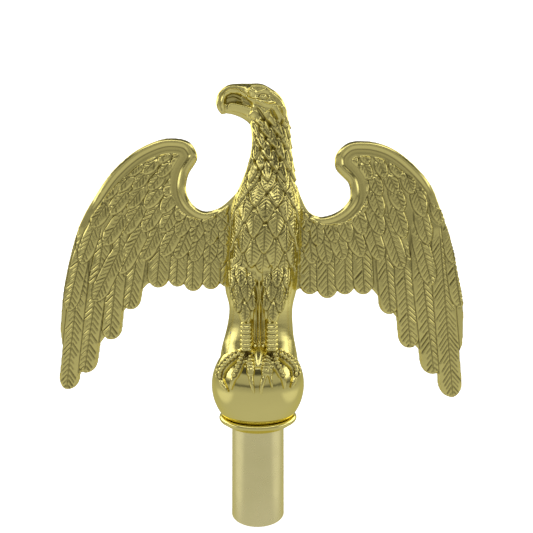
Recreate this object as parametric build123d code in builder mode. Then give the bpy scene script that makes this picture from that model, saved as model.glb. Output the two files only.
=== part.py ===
from build123d import *
import os
from math import asin, atan2, cos, degrees, hypot, radians, sin, sqrt

# Perched eagle finial for a flagpole. Millimetres, +Z up.
# The origin is the centre of the ferrule's open bottom. The front, where the breast and feet are,
# faces -Y, and the eagle's head looks towards -X.

# ---------------------------------------------------------------- driving dimensions
pole_r = 12.75              # bore of the ferrule, for a 1 inch pole
ferrule_wall = 0.95
seat_r = 12.4               # the bore is a little smaller where the plug is pressed in
ferrule_h = 46.4
mouth_chamfer = 0.3

thread_r = 3.97             # 5/16 inch threaded rod
thread_pitch = 1.411        # 18 turns to the inch
screw_clearance = 0.08      # running clearance of the rod in the plug
rod_clearance = 0.13        # rod through the ball and the eagle
nut_clearance = 0.03
nut_across_flats = 12.7

plug_z = (29.6, 40.6)
rod_z = (30.6, 108.6)
jam_nut_h = 4.7
anchor_nut_z = 99.6
anchor_nut_h = 6.7
rod_chamfer = 0.7

dish_z = 46.4               # underside of the collar, on the ferrule's top edge
dish_wall = 1.0
dish_hole_r = 8.2
lip_centre = (19.2, 50.7)   # radius and height of the rolled lip
lip_r = 1.3

ball_r = 24.5
ball_z = 68.2
ball_wall = 1.5
ball_flat_z = 49.6          # flat under the ball, where the jam nut bears

seat_inner_r = 9.2
seat_outer_r = 13.0
seat_gap = 0.3              # between the seat ring and the ball
seat_lift = 0.1             # between the seat ring and the dish

shell_wall = 2.4
wing_half_thickness = 2.2
wing_half_span = 118.0
wing_sweep = 8.9            # how far the wings' ends curve back at the half span
eagle_floor_z = 99.6        # the shells are hollow above this height, solid below it
eagle_top_z = 240.0
pin_r = 1.2
pin_length = 8.0

os.makedirs("parts", exist_ok=True)


def save(piece, label):
    """Label a finished piece and write it as its own STEP file."""
    piece.part.label = label
    export_step(piece.part, f"parts/{label}.step")


def turned(outline):
    """A piece turned about Z from a closed outline of (radius, height) points."""
    with BuildPart() as piece:
        with BuildSketch(Plane.XZ):
            with BuildLine():
                Polyline(*outline, close=True)
            make_face()
        revolve(axis=Axis.Z)
    return piece


def hex_nut(base_z, height):
    """A hexagon nut on the rod's axis."""
    with BuildPart() as nut:
        with BuildSketch(Plane.XY.offset(base_z)):
            RegularPolygon(radius=nut_across_flats / 2, side_count=6, major_radius=False)
            Circle(thread_r + nut_clearance, mode=Mode.SUBTRACT)
        extrude(amount=height)
    return nut


# ---------------------------------------------------------------- ferrule, plug and collar
ferrule = turned([(pole_r, 0), (pole_r + ferrule_wall, 0), (pole_r + ferrule_wall, ferrule_h),
                  (seat_r, ferrule_h), (seat_r, plug_z[0]), (pole_r, plug_z[0])])
with ferrule:
    chamfer(ferrule.edges().group_by(Axis.Z)[0].sort_by(SortBy.RADIUS)[-1], mouth_chamfer)
save(ferrule, "ferrule")

with BuildPart() as ferrule_plug:
    with BuildSketch(Plane.XY.offset(plug_z[0])):
        Circle(seat_r)
        Circle(thread_r + screw_clearance, mode=Mode.SUBTRACT)
    extrude(amount=plug_z[1] - plug_z[0])
    chamfer(ferrule_plug.edges().filter_by(GeomType.CIRCLE).group_by(Axis.Z)[0], 0.5)
save(ferrule_plug, "ferrule_plug")

# The collar is a spun dish: a flat floor on the ferrule's top edge, a flared wall and a rolled lip.
with BuildPart() as collar:
    with BuildSketch(Plane.XZ):
        with BuildLine():
            floor_r = pole_r + ferrule_wall
            Polyline((dish_hole_r, dish_z), (floor_r, dish_z), (lip_centre[0] + 0.5, lip_centre[1]),
                     (lip_centre[0] - 0.6, lip_centre[1]), (floor_r - 0.5, dish_z + dish_wall),
                     (dish_hole_r, dish_z + dish_wall), close=True)
        make_face()
        with Locations(lip_centre):
            Circle(lip_r)
    revolve(axis=Axis.Z)
save(collar, "collar")

# ---------------------------------------------------------------- seat ring under the ball
seat_base_z = dish_z + dish_wall + seat_lift
seat_top_z = ball_flat_z - seat_gap
seat_washer = turned([(seat_inner_r, seat_base_z), (seat_outer_r, seat_base_z),
                      (seat_outer_r, seat_top_z), (seat_inner_r, seat_top_z)])
save(seat_washer, "seat_washer")

# ---------------------------------------------------------------- threaded rod and its nuts
with BuildPart() as spindle:
    with BuildSketch(Plane.XY.offset(rod_z[0])):
        Circle(thread_r)
    extrude(amount=rod_z[1] - rod_z[0])
    chamfer(spindle.edges().filter_by(GeomType.CIRCLE), rod_chamfer)
save(spindle, "spindle")

jam_nut = hex_nut(ball_flat_z - jam_nut_h, jam_nut_h)
save(jam_nut, "jam_nut")

anchor_nut = hex_nut(anchor_nut_z, anchor_nut_h)
save(anchor_nut, "anchor_nut")

# ---------------------------------------------------------------- ball
with BuildPart() as ball_hollow:
    with Locations((0, 0, ball_z)):
        Sphere(ball_r - ball_wall)
    split(bisect_by=Plane.XY.offset(ball_flat_z + ball_wall), keep=Keep.TOP)

with BuildPart() as ball:
    with Locations((0, 0, ball_z)):
        Sphere(ball_r)
    split(bisect_by=Plane.XY.offset(ball_flat_z), keep=Keep.TOP)
    add(ball_hollow.part, mode=Mode.SUBTRACT)
    with Locations((0, 0, ball_z)):
        Cylinder(thread_r + rod_clearance, 2 * ball_r + 1, mode=Mode.SUBTRACT)
save(ball, "ball")

# ---------------------------------------------------------------- eagle: trunk, neck and head
# One row for each cross-section, from the base on the ball to the tip of the beak:
# centre x, y, z, lean of the section towards the beak in degrees, half width, half depth.
trunk_sections = [
    (0.4, 1.5, 78.0, 0, 21.0, 18.5),
    (0.4, 2.0, 87.0, 0, 19.6, 15.5),
    (1.0, 3.0, 98.0, 0, 17.7, 12.0),
    (1.5, 2.5, 108.0, 0, 16.9, 12.0),
    (2.0, 1.5, 120.0, 0, 17.8, 13.5),
    (3.2, 0.0, 135.0, 0, 17.8, 16.0),
    (3.8, -1.0, 150.0, 0, 18.0, 16.5),
    (4.2, -1.0, 162.0, 0, 18.2, 15.0),
    (5.1, -0.5, 172.0, 0, 15.7, 12.6),
    (6.1, 0.0, 182.0, 0, 12.7, 10.8),
    (6.8, 0.0, 195.0, 0, 10.5, 9.4),
]
head_sections = [
    (6.2, 0.0, 207.0, 0, 10.3, 9.2),
    (4.2, 0.0, 213.5, 22, 11.2, 9.6),
    (0.6, 0.0, 218.4, 55, 9.8, 9.0),
    (-6.0, 0.0, 220.4, 82, 8.6, 7.0),
    (-12.5, 0.0, 220.6, 92, 7.2, 5.2),
    (-17.6, 0.0, 219.9, 115, 5.2, 3.8),
    (-20.2, 0.0, 216.8, 150, 2.6, 2.4),
    (-20.0, 0.0, 213.6, 180, 0.7, 0.7),
]


def section_plane(x, y, z, lean):
    """The plane of one cross-section: its X lies in the wing plane, its Y along the row's Y."""
    return Plane(origin=(x, y, z), x_dir=(cos(radians(lean)), 0, sin(radians(lean))),
                 z_dir=(-sin(radians(lean)), 0, cos(radians(lean))))


def lofted(sections, inset=0.0):
    """A smooth solid through elliptical cross-sections, optionally inset by a wall thickness."""
    with BuildPart() as solid:
        for x, y, z, lean, half_width, half_depth in sections:
            with BuildSketch(section_plane(x, y, z, lean)):
                Ellipse(half_width - inset, half_depth - inset)
        loft()
    return solid


# ---------------------------------------------------------------- eagle: wings
# The leading edge runs from the neck, round the hollow, over the wrist and down the outer side;
# the inner edge closes the plate behind the flight feathers. Points are (x, z) in the wing plane.
left_leading_edge = [(-8, 174), (-14.5, 166.5), (-22, 161), (-29, 159.8), (-35.6, 163.8),
                     (-39.1, 170.8), (-38.3, 179.4), (-33.1, 190.2), (-36.7, 196.9), (-47.6, 199.5),
                     (-61.9, 195.5), (-78.7, 182.9), (-90.6, 166.7), (-97, 155.9), (-104, 136),
                     (-107.5, 117), (-109, 96)]
left_inner_edge = [(-105.5, 74), (-96.4, 72.5), (-90, 84), (-83.2, 93), (-77, 102), (-70.2, 110),
                   (-60.2, 121), (-48, 126), (-10, 124), (0, 140)]
# Each flight feather: root, tip, width. Primaries first, from the outside in, then secondaries.
left_feathers = [
    ((-98.5, 140.0), (-104.1, 63.5), 9.8),
    ((-78.0, 125.0), (-94.0, 72.8), 9.4),
    ((-63.0, 145.0), (-80.0, 90.9), 9.2),
    ((-53.5, 148.0), (-69.5, 107.3), 9.0),
    ((-49.0, 150.0), (-54.3, 119.1), 11.8),
    ((-40.0, 150.0), (-43.6, 119.6), 10.2),
    ((-32.0, 148.0), (-35.0, 117.2), 10.4),
    ((-23.5, 146.0), (-25.4, 118.2), 10.4),
    ((-15.5, 145.0), (-16.5, 119.5), 10.4),
]
right_leading_edge = [(20.8, 174), (23.5, 166), (28, 158.8), (33, 156.9), (39, 157.9),
                      (46.4, 162.3), (49.9, 167.2), (49.6, 174.8), (42, 184.4), (42, 189.8),
                      (48.5, 196.9), (57.9, 198.2), (70.1, 195.8), (84.7, 186.3), (95.6, 173.5),
                      (99.6, 163.6), (106.1, 143.9), (109.6, 127.3), (112.8, 108.4), (112.4, 88)]
right_inner_edge = [(106, 74), (97, 72), (91, 82), (85.3, 88), (79, 98), (72.3, 107),
                    (61.2, 119), (50, 123), (20, 121), (6, 140)]
right_feathers = [
    ((104.5, 130.0), (105.8, 59.2), 12.3),
    ((75.0, 129.0), (95.2, 72.0), 10.6),
    ((64.8, 139.0), (82.2, 86.4), 10.0),
    ((55.6, 144.0), (71.3, 104.7), 9.6),
    ((52.0, 146.0), (56.9, 115.4), 10.8),
    ((43.5, 145.0), (46.8, 115.4), 10.8),
    ((34.8, 144.0), (37.3, 113.4), 11.2),
    ((26.5, 143.0), (27.8, 115.5), 11.2),
    ((19.0, 142.0), (19.6, 117.8), 11.2),
]


def feather_slot(root, tip, width):
    """A round-ended flight feather, drawn from its root to its tip."""
    run, drop = tip[0] - root[0], tip[1] - root[1]
    with Locations(((root[0] + tip[0]) / 2, (root[1] + tip[1]) / 2)):
        SlotOverall(hypot(run, drop), width, rotation=degrees(atan2(drop, run)))


def wing(leading_edge, inner_edge, feathers):
    """A wing plate with its feather fingers, cut to a thin slab that curves back at its end."""
    reach = wing_half_span + 4
    drift = wing_sweep * (reach / wing_half_span) ** 2
    with BuildPart() as plate:
        with BuildSketch(Plane.XZ):
            with BuildLine():
                Spline(*leading_edge)
                Polyline(leading_edge[-1], *inner_edge, leading_edge[0])
            make_face()
            for root, tip, width in feathers:
                feather_slot(root, tip, width)
        extrude(amount=2 * (wing_half_thickness + drift), both=True)
        with BuildSketch(Plane.XY):
            with BuildLine():
                near, far = -wing_half_thickness, wing_half_thickness
                ThreePointArc((-reach, drift + near), (0, near), (reach, drift + near))
                Line((reach, drift + near), (reach, drift + far))
                ThreePointArc((reach, drift + far), (0, far), (-reach, drift + far))
                Line((-reach, drift + far), (-reach, drift + near))
            make_face()
        extrude(amount=eagle_top_z, mode=Mode.INTERSECT)
    return plate


# ---------------------------------------------------------------- eagle: thighs, legs, feet
ankles = [(-5.5, -13.5), (7.2, -13.5)]      # x and y of each leg
leg_r = 3.2
leg_z = (86.0, 104.0)
thigh_sections = [(-3.0, 132.0, 8.5), (-8.5, 116.0, 7.0), (-12.5, 102.0, 3.9)]  # y, z, radius
# Toe tips as (x, z) seen from the front, on the ball, three for each foot.
toe_tips = [[(-20.8, 72.9), (-12.3, 70.3), (-2.0, 69.0)],
            [(2.4, 69.3), (12.0, 71.2), (19.4, 72.9)]]
toe_profile = [(0.0, 3.2), (0.35, 3.0), (0.7, 2.5), (0.85, 1.7), (1.0, 0.6)]  # share of length, radius
toe_sink = 0.7                               # how deep the toes' centre line lies over the ball


def on_ball(x, y, z):
    """The direction from the ball's centre to a point, as a unit vector."""
    return (Vector(x, y, z) - Vector(0, 0, ball_z)).normalized()


def toe(ankle, tip):
    """A toe and its claw: a tapering loft along a great circle of the ball."""
    start = on_ball(ankle[0], ankle[1], ball_z + sqrt(ball_r**2 - ankle[0]**2 - ankle[1]**2))
    height = tip[1] - ball_z
    end = on_ball(tip[0], -sqrt(ball_r**2 - tip[0]**2 - height**2), tip[1])
    turn = start.get_angle(end)
    side = start.cross(end).normalized()
    with BuildPart() as digit:
        for share, radius in toe_profile:
            outward = start.rotate(Axis((0, 0, 0), side), share * turn)
            centre = Vector(0, 0, ball_z) + outward * (ball_r + toe_sink)
            with BuildSketch(Plane(origin=centre, x_dir=outward, z_dir=side.cross(outward))):
                Circle(radius)
        loft()
    return digit


def leg(ankle):
    """A feathered thigh that narrows to a bare leg standing on the ball."""
    with BuildPart() as limb:
        for y, z, radius in thigh_sections:
            with BuildSketch(Plane.XY.offset(z)):
                with Locations((ankle[0], y)):
                    Circle(radius)
        loft()
        with BuildSketch(Plane.XY.offset(leg_z[0])):
            with Locations(ankle):
                Circle(leg_r)
        extrude(amount=leg_z[1] - leg_z[0])
    return limb


eye_r = 1.9
eye_x, eye_z = 2.2, 216.7
eye_y = 8.4

with BuildPart() as eagle:
    add(lofted(trunk_sections + head_sections).part)
    add(wing(left_leading_edge, left_inner_edge, left_feathers).part)
    add(wing(right_leading_edge, right_inner_edge, right_feathers).part)
    for ankle, tips in zip(ankles, toe_tips):
        add(leg(ankle).part)
        for tip in tips:
            add(toe(ankle, tip).part)
    with Locations((eye_x, -eye_y, eye_z), (eye_x, eye_y, eye_z)):
        Sphere(eye_r)
    with Locations((0, 0, ball_z)):
        Sphere(ball_r, mode=Mode.SUBTRACT)
    with Locations((0, 0, ball_z)):
        Cylinder(thread_r + rod_clearance, 4 * ball_r, mode=Mode.SUBTRACT)
    add(lofted([(1.1, 2.0, eagle_floor_z, 0, 17.6, 12.4)] + trunk_sections[3:], shell_wall).part,
        mode=Mode.SUBTRACT)

# ---------------------------------------------------------------- dowels across the seam
pin_spots = [(-13.5, 95.0), (14.5, 95.0), (2.0, 224.0)]      # x and z

with BuildPart() as locating_pins:
    with BuildSketch(Plane.XZ):
        with Locations(*pin_spots):
            Circle(pin_r)
    extrude(amount=pin_length / 2, both=True)
save(locating_pins, "locating_pins")


# ---------------------------------------------------------------- eagle: the two halves
def half(front):
    """The half of the eagle in front of, or behind, the curved seam through the wings."""
    reach = wing_half_span
    depth = -40 if front else 40
    with BuildPart() as shell:
        add(eagle.part)
        add(locating_pins.part, mode=Mode.SUBTRACT)
        with BuildSketch(Plane.XY):
            with BuildLine():
                ThreePointArc((-reach, wing_sweep), (0, 0), (reach, wing_sweep))
                Polyline((reach, wing_sweep), (reach, depth), (-reach, depth), (-reach, wing_sweep))
            make_face()
        extrude(amount=eagle_top_z, mode=Mode.INTERSECT)
    return shell


eagle_front = half(front=True)
save(eagle_front, "eagle_front")
eagle_back = half(front=False)
save(eagle_back, "eagle_back")
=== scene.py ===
import math

import bmesh
import bpy
import numpy as np
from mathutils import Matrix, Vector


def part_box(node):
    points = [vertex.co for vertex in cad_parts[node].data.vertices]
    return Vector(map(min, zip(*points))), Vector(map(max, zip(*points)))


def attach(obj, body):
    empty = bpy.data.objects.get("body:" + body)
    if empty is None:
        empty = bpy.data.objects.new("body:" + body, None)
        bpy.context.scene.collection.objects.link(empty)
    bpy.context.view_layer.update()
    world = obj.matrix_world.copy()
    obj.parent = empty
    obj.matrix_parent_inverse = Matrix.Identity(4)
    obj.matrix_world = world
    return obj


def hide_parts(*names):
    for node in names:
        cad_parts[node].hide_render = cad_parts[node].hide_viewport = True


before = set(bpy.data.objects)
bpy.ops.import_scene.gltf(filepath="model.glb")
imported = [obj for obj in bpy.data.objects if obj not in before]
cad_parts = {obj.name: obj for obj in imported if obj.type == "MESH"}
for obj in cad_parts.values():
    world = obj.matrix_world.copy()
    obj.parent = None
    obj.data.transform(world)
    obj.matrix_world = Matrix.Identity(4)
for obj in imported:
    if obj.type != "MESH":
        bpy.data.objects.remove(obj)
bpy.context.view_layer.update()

# The eagle is sculpted in millimetres in the CAD's frame: -Y is the front, and the head looks to -X.
# Its wings are sculpted flat, in the plane y = 0, and curved back at the end.
MM = 0.001
RNG = np.random.default_rng(7)
VOXEL = 0.45


def node_box(name):
    """Lowest and highest corner of a CAD node, in millimetres."""
    low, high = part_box(name)
    return np.array(low) / MM, np.array(high) / MM


ball_low, ball_high = node_box("ball")
ROD_HOLE_R = 4.1
BALL_R = (ball_high[0] - ball_low[0]) / 2
BALL_Z = ball_high[2] - math.sqrt(BALL_R**2 - ROD_HOLE_R**2)
WING_HALF_SPAN = 118.0
WING_SWEEP = 8.9


# ---------------------------------------------------------------- small numeric helpers
def smoothstep(x):
    x = np.clip(x, 0.0, 1.0)
    return x * x * (3 - 2 * x)


def curve(points, count):
    """count points along a smooth curve through the given ones, which may have any number of columns."""
    p = np.asarray(points, float)
    along = np.concatenate([[0], np.cumsum(np.linalg.norm(np.diff(p, axis=0), axis=1))])
    slope = np.gradient(p, along, axis=0)
    at = np.linspace(0, along[-1], count)
    i = np.clip(np.searchsorted(along, at, side="right") - 1, 0, len(p) - 2)
    h = (along[i + 1] - along[i])[:, None]
    u = ((at - along[i]) / h[:, 0])[:, None]
    return ((2 * u**3 - 3 * u**2 + 1) * p[i] + (u**3 - 2 * u**2 + u) * h * slope[i]
            + (3 * u**2 - 2 * u**3) * p[i + 1] + (u**3 - u**2) * h * slope[i + 1])


def distance_to(points, line):
    """Distance of 2D points to a polyline, and how far along it the nearest place is (0 to 1)."""
    a, b = line[:-1], line[1:]
    seg = b - a
    length = np.maximum((seg**2).sum(1), 1e-9)
    best = np.full(len(points), 1e9)
    where = np.zeros(len(points))
    for k in range(len(a)):
        rel = points - a[k]
        u = np.clip(rel @ seg[k] / length[k], 0, 1)
        d = np.hypot(rel[:, 0] - u * seg[k, 0], rel[:, 1] - u * seg[k, 1])
        closer = d < best
        best[closer] = d[closer]
        where[closer] = (k + u[closer]) / len(a)
    return best, where


# ---------------------------------------------------------------- closed solids for the sculpture
class Clay:
    """Closed solids collected as one mesh, which is then fused by a voxel remesh."""

    def __init__(self):
        self.verts, self.faces, self.count = [], [], 0

    def add(self, verts, faces):
        self.verts.append(np.asarray(verts, float))
        self.faces += [tuple(i + self.count for i in f) for f in faces]
        self.count += len(verts)

    def rings(self, rings):
        """A solid through closed rings of points, capped at both ends."""
        rings = np.asarray(rings, float)
        n, m = rings.shape[:2]
        faces = [(r * m + k, r * m + (k + 1) % m, (r + 1) * m + (k + 1) % m, (r + 1) * m + k)
                 for r in range(n - 1) for k in range(m)]
        faces += [tuple(range(m))[::-1], tuple((n - 1) * m + k for k in range(m))]
        self.add(rings.reshape(-1, 3), faces)

    def tube(self, path, radii, depth=None, segments=14):
        """A tube along a path. Its radii may change; depth is its half size along Y, if flattened."""
        path = np.asarray(path, float)
        radii = np.broadcast_to(radii, len(path))
        depth = radii if depth is None else np.broadcast_to(depth, len(path))
        turn = np.linspace(0, 2 * np.pi, segments, endpoint=False)
        rings = []
        for point, ahead, r, d in zip(path, np.gradient(path, axis=0), radii, depth):
            ahead = ahead / np.linalg.norm(ahead)
            side = np.cross((0, 1, 0), ahead)
            if np.linalg.norm(side) < 0.2:
                side = np.cross((1, 0, 0), ahead)
            side = side / np.linalg.norm(side)
            up = np.cross(ahead, side)
            rings.append(point + r * np.cos(turn)[:, None] * side + d * np.sin(turn)[:, None] * up)
        self.rings(rings)

    def plate(self, outline, half):
        """A flat plate in the wing plane from an outline of (x, z) points."""
        outline = np.asarray(outline, float)
        m = len(outline)
        verts = [np.column_stack([outline[:, 0], np.full(m, y), outline[:, 1]]) for y in (-half, half)]
        faces = [(k, (k + 1) % m, m + (k + 1) % m, m + k) for k in range(m)]
        faces += [tuple(range(m))[::-1], tuple(m + k for k in range(m))]
        self.add(np.vstack(verts), faces)


# ---------------------------------------------------------------- trunk, neck and head
# Cross-sections from the base on the ball to the beak: centre x, y, z, lean towards the beak in degrees,
# half width in the wing plane, half depth.
TRUNK = np.array([
    (0.4, 1.5, 77.0, 0, 21.2, 19.0), (0.4, 1.8, 83.0, 0, 20.4, 17.2), (0.4, 2.2, 88.0, 0, 19.5, 15.0),
    (0.6, 2.8, 93.0, 0, 18.4, 12.8), (1.0, 3.0, 98.0, 0, 17.6, 11.5), (1.5, 2.5, 108.0, 0, 16.9, 11.0),
    (1.6, 1.5, 119.0, 0, 19.2, 13.0), (3.0, 0.0, 133.0, 0, 18.0, 15.5), (3.8, -1.0, 150.0, 0, 17.8, 16.2),
    (4.2, -1.0, 162.0, 0, 17.9, 14.8), (5.1, -0.5, 172.0, 0, 15.4, 12.6), (6.1, 0.0, 182.0, 0, 12.6, 10.8),
    (6.8, 0.0, 195.0, 0, 10.3, 9.4), (6.2, 0.0, 207.0, 0, 10.1, 9.2)])
HEAD = np.array([
    (6.2, 0.0, 207.0, 0, 10.1, 9.2), (4.2, 0.0, 213.5, 22, 11.0, 9.6), (1.2, 0.0, 217.8, 52, 9.8, 9.2),
    (-4.0, 0.0, 220.3, 80, 8.4, 7.4), (-8.5, 0.0, 221.2, 88, 6.8, 5.6)])
# Flattened tubes of the beak: x, z, half height, half depth.
UPPER_BEAK = [(-5.0, 222.9, 5.8, 6.0), (-10.5, 223.9, 4.7, 5.2), (-15.5, 223.5, 4.5, 4.4),
              (-19.0, 220.8, 3.6, 3.6), (-19.8, 217.0, 2.6, 2.7), (-18.9, 213.2, 1.1, 1.3)]
LOWER_BEAK = [(3.4, 205.0, 7.2, 7.0), (0.6, 210.6, 6.3, 6.8), (-4.5, 213.7, 4.7, 5.6),
              (-10.0, 215.6, 3.8, 4.4), (-15.0, 216.4, 3.3, 3.2), (-17.6, 216.0, 2.8, 2.4)]


def trunk_at(z):
    """Centre x, centre y, half width and half depth of the trunk at a height."""
    return [np.interp(z, TRUNK[:, 2], TRUNK[:, k]) for k in (0, 1, 4, 5)]


def section_rings(sections, count, segments=56):
    """Rings along a run of elliptical cross-sections."""
    turn = np.linspace(0, 2 * np.pi, segments, endpoint=False)
    rings = []
    for x, y, z, lean, wide, deep in curve(sections, count):
        lean = math.radians(lean)
        rings.append(np.column_stack([x + wide * np.cos(turn) * math.cos(lean), y + deep * np.sin(turn),
                                      z + wide * np.cos(turn) * math.sin(lean)]))
    return rings


def head_tube(clay, rows, count=16):
    """A flattened tube in the wing plane, for a part of the beak."""
    path = curve(rows, count)
    clay.tube(np.column_stack([path[:, 0], np.zeros(count), path[:, 1]]), path[:, 2], path[:, 3], 24)


# ---------------------------------------------------------------- wings
LEFT_EDGE = [(-8, 174), (-14.5, 166.5), (-22, 161), (-29, 159.8), (-35.6, 163.8), (-39.1, 170.8),
             (-38.3, 179.4), (-33.1, 190.2), (-36.7, 196.9), (-47.6, 199.5), (-61.9, 195.5),
             (-78.7, 182.9), (-90.6, 166.7),
             (-96.6, 156.4), (-103.2, 136), (-107.0, 117), (-108.7, 96)]
LEFT_INNER = [(-105.5, 74), (-96.4, 72.5), (-90, 84), (-83.2, 93), (-77, 102), (-70.2, 110), (-60.2, 121),
              (-48, 126), (-10, 124), (0, 140)]
LEFT_FLIGHT = [((-95.0, 152.0), (-104.1, 63.5), 10.4), ((-83.0, 152.0), (-94.0, 72.8), 10.4),
               ((-74.0, 150.0), (-80.0, 90.9), 10.2), ((-62.5, 152.0), (-69.5, 107.3), 9.8),
               ((-51.5, 150.0), (-54.3, 119.1), 11.8), ((-42.3, 150.0), (-43.6, 119.6), 10.2),
               ((-34.0, 148.0), (-35.0, 117.2), 10.4), ((-24.8, 146.0), (-25.4, 118.2), 10.4),
               ((-16.0, 145.0), (-16.5, 119.5), 10.4)]
RIGHT_EDGE = [(20.8, 174), (23.5, 166), (28, 158.8), (33, 156.9), (39, 157.9), (46.4, 162.3), (49.9, 167.2),
              (49.6, 174.8), (42, 184.4), (42, 189.8), (48.5, 196.9), (57.9, 198.2), (70.1, 195.8),
              (84.7, 186.3), (95.6, 173.5), (99.6, 163.6),
              (106.1, 143.9), (109.6, 127.3), (112.8, 108.4), (112.4, 88)]
RIGHT_INNER = [(106, 74), (97, 72), (91, 82), (85.3, 88), (79, 98), (72.3, 107), (61.2, 119), (50, 123),
               (20, 121), (6, 140)]
RIGHT_FLIGHT = [((99.0, 152.0), (105.8, 59.2), 12.6), ((86.5, 150.0), (95.2, 72.0), 11.6),
                ((77.5, 145.0), (82.2, 86.4), 10.8), ((67.5, 148.0), (71.3, 104.7), 10.4),
                ((55.5, 146.0), (56.9, 115.4), 10.8), ((46.2, 145.0), (46.8, 115.4), 10.8),
                ((36.6, 144.0), (37.3, 113.4), 11.2), ((27.4, 143.0), (27.8, 115.5), 11.2),
                ((19.4, 142.0), (19.6, 117.8), 11.2)]
# The rolled rim along the leading edge ends at this height on each wing's outer side.
LEFT_RIM_END, RIGHT_RIM_END = 155.0, 162.0
PLATE_HALF = 1.35
RIM = (2.2, 2.4)            # half width and half depth of the rolled rim
BAND = (1.9, 1.5)           # the same for the smooth band inside it


def inset_curve(line, amount, inside):
    """A line moved sideways by amount towards the point inside."""
    ahead = np.gradient(line, axis=0)
    ahead /= np.linalg.norm(ahead, axis=1)[:, None]
    side = np.column_stack([-ahead[:, 1], ahead[:, 0]])
    if ((np.array(inside) - line[len(line) // 2]) * side[len(line) // 2]).sum() < 0:
        side = -side
    return line + side * amount


def feather_half(f, length, width, point=0.0):
    """Half width of a feather at the share f of its length: parallel sides, then a round or pointed tip."""
    start = 1 - (0.62 + 0.9 * point) * width / length
    u = np.clip((f - start) / (1 - start), 0, 1)
    tip = (1 - u ** (2.0 - 0.5 * point)) ** (0.5 + 0.25 * point)
    return width / 2 * tip * (0.72 + 0.28 * smoothstep(f * 2.5))


def feather_outline(root, tip, width):
    """Outline of a flight feather in the wing plane."""
    root, tip = np.array(root, float), np.array(tip, float)
    length = np.linalg.norm(tip - root)
    ahead = (tip - root) / length
    side = np.array([-ahead[1], ahead[0]])
    f = 1 - np.linspace(0, 1, 26) ** 2
    half = feather_half(f, length, width)
    left = root + f[:, None] * length * ahead + half[:, None] * side
    right = root + f[:, None] * length * ahead - half[:, None] * side
    return np.vstack([left[::-1], right[1:]])


def add_wing(clay, edge, inner, flight, rim_end, inside):
    """Plate, flight feathers, rolled rim and smooth band of one wing. Returns the rim's outer line."""
    leading = curve(edge, 220)
    clay.plate(np.vstack([leading, inner]), PLATE_HALF)
    for root, tip, width in flight:
        clay.plate(feather_outline(root, tip, width), PLATE_HALF)
    outer = np.abs(leading[:, 0]) > 80
    keep = ~(outer & (leading[:, 1] < rim_end))
    line = leading[keep]
    fade = smoothstep(np.minimum(np.arange(len(line)) / 30, (len(line) - np.arange(len(line))) / 26))
    for inset, (wide, deep) in ((RIM[0], RIM), (RIM[0] * 2 + BAND[0] * 0.85, BAND)):
        path = inset_curve(line, inset, inside)
        clay.tube(np.column_stack([path[:, 0], np.zeros(len(path)), path[:, 1]]),
                  wide * (0.35 + 0.65 * fade), deep * (0.45 + 0.55 * fade), 12)
    return line


# ---------------------------------------------------------------- thighs, legs and feet
ANKLES = [-5.5, 7.1]
LEG_MIDDLE = 0.8
THIGH = [(-3.0, 132.0, 8.8), (-7.0, 122.0, 8.0), (-10.4, 112.0, 6.0), (-12.3, 102.5, 3.6)]    # y, z, radius
LEG = [(-15.6, 84.5), (-14.0, 92.0), (-12.6, 104.0)]                                         # y, z
LEG_R = 2.7
# Toes as seen from the front: the toe's points (x, z) from the ankle down, those of its claw, the toe's
# radius, and its rows of beads. A toe without beads has bands.
TOES = [
    ([(-8.0, 86.2), (-12.0, 83.6), (-15.2, 80.8), (-17.4, 77.5), (-17.8, 74.6)],
     [(-17.0, 72.4), (-15.2, 70.4), (-13.8, 68.8)], 2.5, 2),
    ([(-6.6, 85.6), (-7.8, 82.6), (-9.3, 79.3), (-10.9, 76.0)],
     [(-11.7, 74.0), (-12.2, 71.8), (-12.5, 70.0)], 2.0, 1),
    ([(-4.8, 85.6), (-3.7, 82.4), (-3.1, 79.7), (-3.0, 77.3)],
     [(-2.6, 74.6), (-1.9, 71.5), (-1.4, 69.0)], 1.9, 0),
    ([(5.9, 85.4), (4.7, 82.4), (4.0, 79.7), (3.6, 77.3)], [(2.7, 74.8), (2.0, 72.0), (1.9, 68.6)], 1.9, 0),
    ([(7.0, 83.0), (6.4, 79.7), (6.2, 77.3)], [(6.7, 74.2), (7.5, 70.6)], 1.3, 0),
    ([(8.0, 85.4), (9.0, 81.7), (10.4, 79.3), (12.0, 76.3)],
     [(12.7, 74.3), (13.0, 72.2), (13.1, 70.2)], 2.0, 1),
    ([(9.8, 86.2), (13.8, 83.4), (16.8, 80.8), (18.4, 78.0), (18.4, 75.4)],
     [(17.8, 73.2), (16.9, 71.6), (16.2, 70.3)], 2.5, 2)]
CLAW_RADII = [(0.0, 0.62), (0.5, 0.48), (1.0, 0.14)]        # share of the claw, share of the toe's radius
# The smooth ridge that runs down over the ball between the feet: x, z, radius.
BRIDGE = [(0.8, 92.0, 4.6), (0.7, 88.0, 4.0), (0.6, 84.0, 3.0), (0.5, 80.5, 1.8)]
BALL_CENTRE = np.array([0.0, 0.0, BALL_Z])


def front_of_base(x, z):
    """Y of the front surface of the ball and of the trunk's foot on it."""
    cx, cy, wide, deep = trunk_at(z)
    trunk = cy - deep * np.sqrt(np.clip(1 - ((x - cx) / wide) ** 2, 0, 1))
    ball = -np.sqrt(np.clip(BALL_R**2 - x**2 - (z - BALL_Z) ** 2, 0, None))
    return np.minimum(trunk, ball)


def toe_path(toe, claw, count=48):
    """Centre line of a toe and its claw on the ball, and the share of it where the claw begins."""
    line = curve(toe + claw, count)
    path = np.column_stack([line[:, 0], front_of_base(line[:, 0], line[:, 1]), line[:, 1]])
    steps = np.concatenate([[0], np.cumsum(np.linalg.norm(np.diff(np.array(toe + claw), axis=0), axis=1))])
    return path, steps[len(toe) - 1] / steps[-1]


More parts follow.
